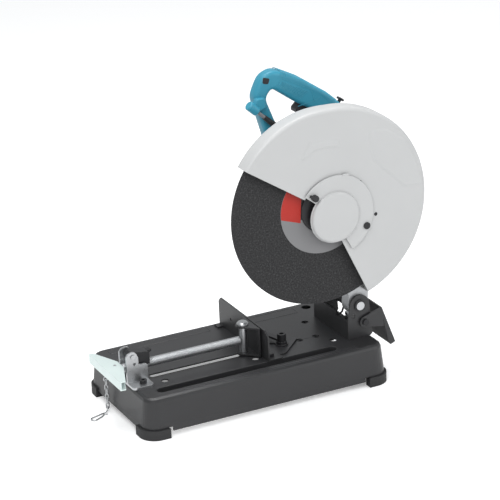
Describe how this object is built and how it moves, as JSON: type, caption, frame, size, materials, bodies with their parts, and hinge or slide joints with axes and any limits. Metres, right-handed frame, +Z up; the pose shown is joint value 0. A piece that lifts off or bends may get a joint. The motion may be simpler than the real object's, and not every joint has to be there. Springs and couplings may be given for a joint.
{
  "type": "abrasive chop saw",
  "caption": "Bench chop saw with an abrasive cut-off wheel, spring-lifted motor head, angled fence and quick-release screw vise on a pressed steel base.",
  "frame": {"origin": "on the floor, under the middle of the base pan", "axes": "+X from the vise crank towards the head pivot, +Y from the wheel side towards the motor, +Z up"},
  "size_m": [0.6248, 0.271, 0.588],
  "materials": {
    "black_steel": "semi-gloss",
    "guard_paint": "satin",
    "teal_plastic": "satin",
    "black_plastic": "matte",
    "rubber": "matte",
    "grey_rubber": "satin",
    "zinc": "satin",
    "bright_zinc": "bright",
    "steel": "ground",
    "black_oxide": "satin",
    "aluminium": "as cast",
    "laminations": "varnished",
    "copper": "turned",
    "carbon": "matte",
    "abrasive": "gritty",
    "label": "printed paper"
  },
  "bodies": {
    "base": {"base_pan": "black_steel", "base_feet": "rubber", "fence": "black_steel", "fence_bolts": "black_oxide", "vise_bracket": "zinc", "vise_bracket_bolts": "black_oxide", "vise_nut_pin": "zinc", "chain_eyelet": "zinc", "pivot_bracket": "black_steel", "pivot_bracket_bolts": "zinc", "pivot_shaft": "zinc", "pivot_rings": "black_oxide", "return_spring": "black_oxide", "depth_stop": "zinc", "spark_guard_screws": "black_oxide"},
    "vise_slider": {"vise_jaw_pin": "zinc"},
    "vise_jaw": {"vise_jaw": "black_steel"},
    "vise_crank": {"vise_screw": "zinc", "crank": "bright_zinc", "crank_pin": "zinc"},
    "vise_nut": {"vise_nut": "black_oxide"},
    "chain": {"chain_links": "zinc", "lock_clip": "zinc"},
    "spark_guard": {"spark_guard": "black_steel"},
    "head": {"swing_arm": "aluminium", "gear_housing_cover": "aluminium", "motor_housing": "teal_plastic", "motor_end_cap": "teal_plastic", "handle_near": "teal_plastic", "handle_far": "teal_plastic", "handle_screws": "zinc", "switch_block": "black_plastic", "strain_relief": "rubber", "supply_lead": "grey_rubber", "brush_caps": "black_plastic", "carbon_brushes": "carbon", "field_stator": "laminations", "armature_bearings": "steel", "spindle_bearings": "steel", "wheel_guard": "guard_paint", "guard_inner_plate": "guard_paint", "guard_screws": "zinc", "cover_pivot_screw": "black_oxide"},
    "wheel": {"cutoff_wheel": "abrasive", "wheel_labels": "label", "inner_flange": "black_oxide", "outer_flange": "black_oxide", "spindle_bolt": "zinc", "spindle": "steel", "spindle_gear": "steel"},
    "armature": {"armature_shaft": "steel", "armature_core": "laminations", "commutator": "copper", "cooling_fan": "black_plastic", "pinion_gear": "steel"},
    "trigger": {"trigger": "black_plastic"},
    "lock_off_button": {"lock_off_button": "black_plastic"},
    "shaft_lock": {"shaft_lock_pin": "black_plastic"},
    "centre_cover": {"centre_cover": "guard_paint"},
    "cover_knob": {"cover_knob": "black_plastic"}
  },
  "joints": [
    {"name": "head_pivot", "type": "hinge", "parent": "base", "child": "head", "pos_m": [0.211, 0, 0.138], "axis": [0, -1, 0], "range_deg": [0, 50], "stiffness_Nm_per_rad": 16, "springref_deg": -31.51},
    {"name": "wheel_spin", "type": "hinge", "parent": "head", "child": "wheel", "pos_m": [0.132, -0.0955, 0.347], "axis": [0, 1, 0], "continuous": true},
    {"name": "armature_spin", "type": "hinge", "parent": "head", "child": "armature", "pos_m": [0.16599, -0.05, 0.37982], "axis": [0, 1, 0], "continuous": true},
    {"name": "shaft_lock", "type": "slide", "parent": "head", "child": "shaft_lock", "axis": [0, -1, 0], "range_m": [0, 0.01], "stiffness_N_per_m": 300, "springref_m": -0.004},
    {"name": "trigger_press", "type": "hinge", "parent": "head", "child": "trigger", "pos_m": [0.176, -0.006, 0.493], "axis": [0, 1, 0], "range_deg": [0, 6], "stiffness_Nm_per_rad": 1, "springref_deg": -5.73},
    {"name": "lock_off_press", "type": "slide", "parent": "head", "child": "lock_off_button", "axis": [-0.5736, 0, -0.8192], "range_m": [0, 0.004], "stiffness_N_per_m": 300, "springref_m": -0.003},
    {"name": "cover_swing", "type": "hinge", "parent": "head", "child": "centre_cover", "pos_m": [0.209, -0.115, 0.305], "axis": [0, 1, 0], "range_deg": [0, 90]},
    {"name": "cover_knob_turn", "type": "hinge", "parent": "head", "child": "cover_knob", "pos_m": [0.107, -0.118, 0.377], "axis": [0, 1, 0], "range_deg": [-180, 180]},
    {"name": "vise_travel", "type": "slide", "parent": "base", "child": "vise_slider", "axis": [-1, 0, 0], "range_m": [0, 0.165]},
    {"name": "vise_screw_turn", "type": "hinge", "parent": "vise_slider", "child": "vise_crank", "pos_m": [-0.15, -0.03, 0.102], "axis": [1, 0, 0], "range_deg": [0, 11880]},
    {"name": "jaw_rock", "type": "hinge", "parent": "vise_slider", "child": "vise_jaw", "pos_m": [-0.002, -0.03, 0.104], "axis": [0, 0, 1], "range_deg": [-2.5, 2.5]},
    {"name": "vise_nut_flip", "type": "hinge", "parent": "base", "child": "vise_nut", "pos_m": [-0.224, -0.03, 0.126], "axis": [0, -1, 0], "range_deg": [0, 75]},
    {"name": "spark_guard_tilt", "type": "hinge", "parent": "base", "child": "spark_guard", "pos_m": [0.22, -0.012, 0.105], "axis": [0, -1, 0], "range_deg": [0, 20]},
    {"name": "chain_swing", "type": "hinge", "parent": "base", "child": "chain", "pos_m": [-0.248, 0.027, 0.062], "axis": [0, 1, 0], "range_deg": [0, 45]}
  ],
  "couplings": [
    {"joint": "armature_spin", "follows": "wheel_spin", "ratio": -4.7273},
    {"joint": "vise_travel", "follows": "vise_screw_turn", "m_per_rad": 0.00079577}
  ]
}
